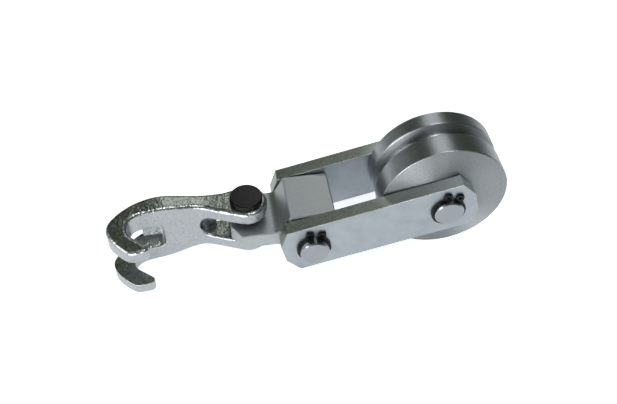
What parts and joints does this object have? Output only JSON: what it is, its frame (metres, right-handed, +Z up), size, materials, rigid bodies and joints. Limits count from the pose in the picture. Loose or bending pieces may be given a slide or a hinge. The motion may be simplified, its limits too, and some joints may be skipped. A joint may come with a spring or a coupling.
{
  "type": "roller block with chain hook",
  "caption": "Flat-bar block with a grooved sheave on a pin at one end and, at the other, a swivelling forged hook with twin claws that hold a chain link.",
  "frame": {"origin": "middle of the foot of the whole object's box, on the surface it lies on", "axes": "+X from the hook to the sheave, +Y from the front cheek to the rear cheek (the claws curl to the front), +Z up"},
  "size_m": [0.2696, 0.0728, 0.088],
  "materials": {
    "rolled_bar": "zinc-plated flat bar with sawn ends, dulled",
    "machined_steel": "turned and milled, lightly oiled",
    "forged_steel": "forging scale, blasted, oiled",
    "pin_steel": "ground bright",
    "blackened_steel": "phosphated and oiled, glossy black",
    "bush_bronze": "plain bored"
  },
  "bodies": {
    "cheeks": {"front_cheek_plate": "rolled_bar", "rear_cheek_plate": "rolled_bar", "sheave_pin": "pin_steel", "link_pin": "pin_steel", "sheave_pin_front_circlip": "blackened_steel", "sheave_pin_rear_circlip": "blackened_steel", "link_pin_front_circlip": "blackened_steel", "link_pin_rear_circlip": "blackened_steel"},
    "sheave": {"sheave": "machined_steel", "sheave_bush": "bush_bronze"},
    "link": {"link_block": "machined_steel"},
    "hook": {"claw_hook": "forged_steel", "hook_pin": "blackened_steel", "hook_pin_circlip": "blackened_steel"}
  },
  "joints": [
    {"name": "sheave_spin", "type": "hinge", "parent": "cheeks", "child": "sheave", "pos_m": [0.09082, 0.00009, 0.044], "axis": [0, 1, 0], "continuous": true},
    {"name": "link_swing", "type": "hinge", "parent": "cheeks", "child": "link", "pos_m": [0, 0.00009, 0.02263], "axis": [0, 1, 0], "range_deg": [-118, 92]},
    {"name": "hook_swivel", "type": "hinge", "parent": "link", "child": "hook", "pos_m": [-0.0415, 0.00009, 0.02503], "axis": [0, 0, 1], "range_deg": [-90, 90]}
  ]
}
